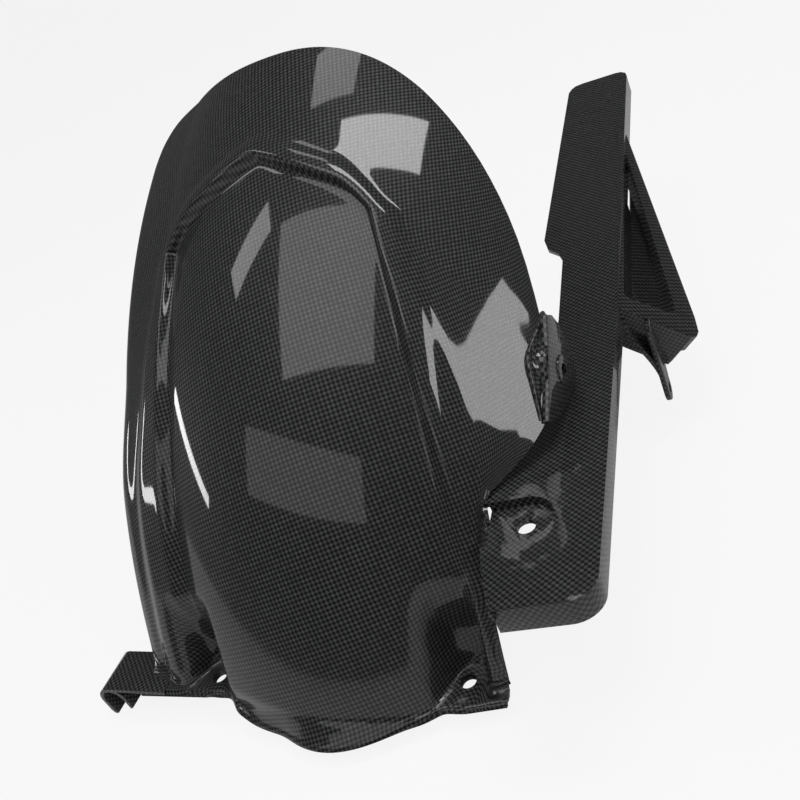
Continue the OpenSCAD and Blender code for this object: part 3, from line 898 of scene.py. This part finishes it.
class HUGGER_OT_fin(bpy.types.Operator):
    """Build the open fin outside the guard, with its lug"""

    bl_idname = "hugger.fin"
    bl_label = "Side fin"

    def execute(self, context):
        g = in_mm(context.scene.hugger_guard)
        wall = in_mm(context.scene.hugger_arch)["wall"]
        out, ahead, end = g["fin_reach"], 5, g["fin_length"]
        root = -0.6     # the fin starts a little inside the guard
        rim = [(out - 5, ahead - 2), (out - 1.4, ahead + 1), (out, ahead + 6), (out - 2, ahead + 18)]
        behind = [(1, end), (root, end)]
        fin = prism("side_fin", [(root, 0), *rim, *behind], -wall, 0)
        back = [(1 - wall, end - 4), (out - 2 - wall, ahead + 17), (out - wall, ahead + 6.5),
                (out - 3, ahead + 2.6), (out - 6, ahead + 0.6)]
        strip = prism("strip", [*rim, behind[0], *back], -g["fin_turn"], -wall / 2)
        front = [(0, 0), rim[0], (out - 2, ahead + 3), (out - 6, ahead + 0.8), (0, wall)]
        band = prism("band", front, -g["fin_front"], -wall / 2)
        cut(fin, strip, "UNION")
        cut(fin, band, "UNION")
        inner, reach = g["fin_band"], out - g["fin_strip"]
        window = prism("window", [(4, inner), (6, inner - 2), (reach - 6, inner + 1), (reach - 3, inner + 3),
                                  (reach - 2, inner + 8), (7, end - 50), (5, end - 46), (4, end - 48)],
                       -wall - 2, 3)
        cut(fin, window)
        soften(fin, 0.7)
        turned(fin, turn(g["fin_slope"], "Y"), turn(g["guard_rise"], "X"))
        finish_piece(fin, with_guard=True)
        self.well(g, wall)
        self.lug(g)
        return {"FINISHED"}

    @staticmethod
    def lug(g):
        """The lug that hangs under the fin, with its hole."""
        hang, half, thick = g["fin_hang"], 7, 3
        arc = [(half * sin_deg(t), -0.5 - half * cos_deg(t)) for t in range(-80, 81, 16)]
        sides = [(9, hang - 22), (9, hang - 14), (-3, hang - 14), (-5, hang / 2)]
        lug = prism("fin_lug", [(-half, 0), *arc, (half, 0), *sides], 0, thick)
        soften(lug, 0.6, 2, 50)
        cut(lug, rod("hole", (0, 0), g["fin_bore"] / 2, -2, thick + 2, 48))
        turned(lug, UPRIGHT, shift(11, 0, -hang))
        finish_piece(lug, with_guard=True)

    @staticmethod
    def well(g, wall):
        """The wall under the fin that carries its lug, and the sunk shelf inside the fin's strip."""
        # The wall's lower edge by its length, and how far its front edge leans by its height.
        low_edge = ((-7, -61), (8, -60), (14, -50), (26, -45), (60, -38), (125, -24))
        front_edge = ((-61, -7), (-45, -5), (-30, -1), (-12, 1))
        along, down, run, top = 40, 20, 125, -9

        def on_wall(i, k):
            y = run * i / (along - 1)
            z = mix(top, curved(y, low_edge), k / (down - 1))
            y += curved(z, front_edge) * (1 - smooth(y / 8))
            out = mix(0.8, 12.4, smooth((-z - 16) / 34) * (1 - smooth((y - 10) / 50)))
            return Vector((out, y, z + y * math.tan(math.radians(g["guard_rise"])) * smooth(y / 20)))
        side = grid("fin_wall", along, down, on_wall)
        apply_modifier(side, "SOLIDIFY", thickness=wall * MM, offset=0)

        # The window's outer edge, as the length along the guard and the place out from it.
        rim = g["fin_reach"] - g["fin_strip"]
        window_edge = ((g["fin_band"] + 2, rim - 1.6), (g["fin_band"] + 9, rim - 1.2),
                       (g["fin_length"] - 44, 5.5))
        rows, steps, inner_edge, under, sunk = 30, 8, 3, 1.2, 20

        def on_shelf(i, k):
            y = mix(window_edge[0][0], window_edge[2][0], i / (rows - 1))
            out = mix(curved(y, window_edge), inner_edge, k / (steps - 1))
            p = rise((out * cos_deg(g["fin_slope"]), y), g)
            return p - Vector((0, 0, out * sin_deg(g["fin_slope"]) + under + sunk * min(1, k / 3)))
        shelf = grid("fin_shelf", rows, steps, on_shelf)
        apply_modifier(shelf, "SOLIDIFY", thickness=wall * 0.7 * MM, offset=-1)
        for piece in (side, shelf):
            face_out(piece)
            finish_piece(piece, 40, with_guard=True)


# The two ridges of the tab's step, from its top to its foot: X, Y and Z along each.
TAB_STOPS = (0, 0.2, 0.46, 0.72, 1)
TAB_HIGH = tuple(tuple(zip(TAB_STOPS, line)) for line in (
    (131.6, 129, 125, 127, 129.6), (118.4, 109.8, 95.3, 85.1, 74.9), (129, 124.8, 118.3, 107.6, 95.9)))
TAB_LOW = tuple(tuple(zip(TAB_STOPS, line)) for line in (
    (133.6, 133.8, 133.8, 133.8, 133.6), (124, 117, 100, 91.6, 84), (119, 117.6, 115.5, 103.7, 90.8)))


class HUGGER_OT_tab(bpy.types.Operator):
    """Build the bolted tab between the arch and the guard"""

    bl_idname = "hugger.tab"
    bl_label = "Side tab"

    def execute(self, context):
        g = in_mm(context.scene.hugger_guard)
        wall = g["tab_wall"]
        hole_at, inner_face = (110, 99), 131
        tab = prism("side_tab", [(73.9, 95.3), (80, 90.5), (86.8, 87.6), (99, 85), (112, 83.4), (121, 83.2),
                                 (126, 85.6), (128.2, 91), (128.6, 99), (127.8, 108), (126.2, 116),
                                 (122.4, 123.4), (115.8, 128.2), (99, 112)], 0, wall)
        cut(tab, rod("boss", hole_at, 7.5, wall - 1, wall + 1), "UNION")
        soften(tab, 0.7, 3, 50)
        cut(tab, rod("hole", hole_at, g["tab_bore"] / 2, -3, 9, 48))
        turned(tab, UPRIGHT, shift(inner_face, 0, 0), shift(*-LEFT_BOLT))
        finish_piece(tab)

        # The step from the arch down to the tab: two rounded ridges with a slope between them.
        along, across, tucked, ridge_at, ridge_half = 40, 16, 0.12, 0.2, 0.1
        outwards, ridge_height, tuck_depth = Vector((0.8, -0.5, 0.6)), 1.1, 2.2

        def place(i, k):
            t, h = i / (along - 1), k / (across - 1)
            high = Vector([curved(t, line) for line in TAB_HIGH])
            low = Vector([curved(t, line) for line in TAB_LOW])
            p = high.lerp(low, clamp((h - tucked) / (1 - 2 * tucked)))
            ridges = sum(math.exp(-((h - at) / ridge_half) ** 2) for at in (ridge_at, 1 - ridge_at))
            under = 1 - smooth(min(h, 1 - h) / tucked)
            return p + outwards * (ridge_height * ridges - tuck_depth * under) - LEFT_BOLT
        step = grid("tab_step", along, across, place)
        apply_modifier(step, "SUBSURF", levels=1, render_levels=1)
        apply_modifier(step, "SOLIDIFY", thickness=1.6 * MM, offset=-1)
        face_out(step)
        finish_piece(step, 50)
        return {"FINISHED"}


class HUGGER_OT_hook(bpy.types.Operator):
    """Build the hose hook at the end of the lip"""

    bl_idname = "hugger.hook"
    bl_label = "Hose hook"

    def execute(self, context):
        g = in_mm(context.scene.hugger_guard)
        wall = in_mm(context.scene.hugger_arch)["wall"]
        r, deep = g["hose_diameter"] / 2, g["hook_length"]
        outer, inner = r + wall, r
        arc = [(outer * cos_deg(t), outer * sin_deg(t)) for t in range(0, 181, 10)]
        back = [(inner * cos_deg(t), inner * sin_deg(t)) for t in range(180, -1, -10)]
        outline = arc + [(-outer + 0.8, -r - 2), (-outer + 3, -r - 7.5), (-outer + 4.6, -r - 6)] + back
        outline += [(inner + 0.6, -7.5), (inner + 2.4, -7), (outer + 0.4, -3)]
        hook = prism("hose_hook", outline, 0, deep)
        arm = prism("arm", [(2, r + 0.4), (r + 35, r - 1.4), (r + 35, r + 1), (2, r + 2.3)], 0, deep)
        cut(hook, arm, "UNION")
        soften(hook, 0.7)
        lip_end, behind = -136, 10
        turned(hook, turn(90, "X"), shift(lip_end - r, behind, RIGHT_BOLT[2] - r - 0.7), shift(*-LEFT_BOLT))
        finish_piece(hook)
        return {"FINISHED"}


FLOOR_SIZE, FLOOR_GLOW, ROOM_LIGHT = 40, 0.88, 0.07
LAMP_DISTANCE = 1.35
# The camera that the photo was fitted with: its place, its lens, and the ways right, up and back of it.
CAMERA_AT, CAMERA_LENS = (0.2318, -0.2953, 0.3759), 47.25
CAMERA_AXES = (0.8706, 0.3141, -0.3787), (0.1159, 0.6171, 0.7783), (0.4782, -0.7214, 0.5009)
# Soft boxes: heading from +Y towards +X and height in degrees, width and height in metres, and brightness.
LAMPS = (
    ("over_right", 78, 72, (0.26, 0.66), 8.0),
    ("right", 114, 31, (0.66, 0.15), 6.0),
    ("over_left", -110, 55, (0.16, 0.46), 3.2),
    ("over_front", 176, 64, (0.95, 0.74), 1.7),
    ("front", -166, 29, (1.30, 0.30), 0.7),
    ("left", -104, 8, (0.60, 0.05), 9.0),
    ("over_rear", -12, 73, (0.34, 0.30), 2.2),
)


class HUGGER_OT_stage(bpy.types.Operator):
    """Set the floor, the soft lights and the camera"""

    bl_idname = "hugger.stage"
    bl_label = "Stage"

    def execute(self, context):
        low, high = CAD_BOX
        start()
        bpy.ops.mesh.primitive_plane_add(size=FLOOR_SIZE, location=(0, 0, low[2] - 0.001))
        floor = named("floor")
        bpy.ops.object.transform_apply(location=True)
        paint = bpy.data.materials.new("pale_floor")
        paint.use_nodes = True
        nodes, links = paint.node_tree.nodes, paint.node_tree.links
        shader = nodes["Principled BSDF"]
        shader.inputs["Base Color"].default_value = (*context.scene.hugger_finish.floor, 1)
        shader.inputs["Roughness"].default_value = 0.9
        shader.inputs["Specular IOR Level"].default_value = 0.0
        glow = nodes.new("ShaderNodeEmission")
        glow.inputs["Strength"].default_value = 1.0
        path = nodes.new("ShaderNodeLightPath")
        seen = nodes.new("ShaderNodeMath")
        seen.operation = "MULTIPLY"
        seen.inputs[1].default_value = FLOOR_GLOW
        links.new(path.outputs["Is Camera Ray"], seen.inputs[0])
        blend = nodes.new("ShaderNodeMixShader")
        links.new(seen.outputs[0], blend.inputs[0])
        links.new(shader.outputs[0], blend.inputs[1])
        links.new(glow.outputs[0], blend.inputs[2])
        links.new(blend.outputs[0], nodes["Material Output"].inputs[0])
        floor.data.materials.append(paint)

        world = bpy.data.worlds.new("studio")
        world.use_nodes = True
        context.scene.world = world
        nodes, links = world.node_tree.nodes, world.node_tree.links
        back = nodes["Background"]
        back.inputs["Color"].default_value = (1, 1, 1, 1)
        back.inputs["Strength"].default_value = ROOM_LIGHT
        seen_back = nodes.new("ShaderNodeBackground")
        seen_back.inputs["Color"].default_value = (1, 1, 1, 1)
        seen_back.inputs["Strength"].default_value = 1.0
        path = nodes.new("ShaderNodeLightPath")
        blend = nodes.new("ShaderNodeMixShader")
        links.new(path.outputs["Is Camera Ray"], blend.inputs[0])
        links.new(back.outputs[0], blend.inputs[1])
        links.new(seen_back.outputs[0], blend.inputs[2])
        links.new(blend.outputs[0], nodes["World Output"].inputs[0])

        middle = (Vector(low) + Vector(high)) / 2
        for name, heading, height, size, glow in LAMPS:
            flat = cos_deg(height)
            away = Vector((sin_deg(heading) * flat, cos_deg(heading) * flat, sin_deg(height)))
            bpy.ops.object.light_add(type="AREA", location=middle + LAMP_DISTANCE * away)
            lamp = context.active_object
            lamp.name = name
            lamp.data.shape = "RECTANGLE"
            lamp.data.size, lamp.data.size_y = size
            lamp.data.energy = glow * math.pi * size[0] * size[1]
            lamp.rotation_euler = (-away).to_track_quat("-Z", "Y").to_euler()

        bpy.ops.object.camera_add()
        camera = context.active_object
        camera.name = "camera"
        camera.data.sensor_width = 36
        camera.data.lens = CAMERA_LENS
        camera.data.clip_start = 0.01
        turned_to = Matrix(CAMERA_AXES).transposed().to_4x4()
        camera.matrix_world = Matrix.Translation(CAMERA_AT) @ turned_to
        context.scene.camera = camera
        context.scene.view_settings.view_transform = "Standard"
        return {"FINISHED"}


class HUGGER_PT_panel(bpy.types.Panel):
    """Lists every step of the build"""

    bl_label = "Rear Hugger"
    bl_idname = "HUGGER_PT_panel"
    bl_space_type = "VIEW_3D"
    bl_region_type = "UI"
    bl_category = "Hugger"

    def draw(self, context):
        layout = self.layout
        for step in STEPS:
            layout.operator(step.bl_idname)
        for group in (context.scene.hugger_arch, context.scene.hugger_guard, context.scene.hugger_finish):
            box = layout.box()
            for key in group.bl_rna.properties.keys():
                if key not in {"rna_type", "name"}:
                    box.prop(group, key)


GROUPS = (HuggerArch, HuggerGuard, HuggerFinish)
STEPS = (HUGGER_OT_arch, HUGGER_OT_seats, HUGGER_OT_guard, HUGGER_OT_fin, HUGGER_OT_tab, HUGGER_OT_hook,
         HUGGER_OT_stage)


def register():
    for item in (*GROUPS, *STEPS, HUGGER_PT_panel):
        bpy.utils.register_class(item)
    bpy.types.Scene.hugger_arch = bpy.props.PointerProperty(type=HuggerArch)
    bpy.types.Scene.hugger_guard = bpy.props.PointerProperty(type=HuggerGuard)
    bpy.types.Scene.hugger_finish = bpy.props.PointerProperty(type=HuggerFinish)


def unregister():
    del bpy.types.Scene.hugger_finish
    del bpy.types.Scene.hugger_guard
    del bpy.types.Scene.hugger_arch
    for item in reversed((*GROUPS, *STEPS, HUGGER_PT_panel)):
        bpy.utils.unregister_class(item)


def main():
    """Build the pieces and the stage in order."""
    register()
    bpy.ops.hugger.arch()
    bpy.ops.hugger.seats()
    bpy.ops.hugger.guard()
    bpy.ops.hugger.fin()
    bpy.ops.hugger.tab()
    bpy.ops.hugger.hook()
    bpy.ops.hugger.stage()


if __name__ == "__main__":
    main()
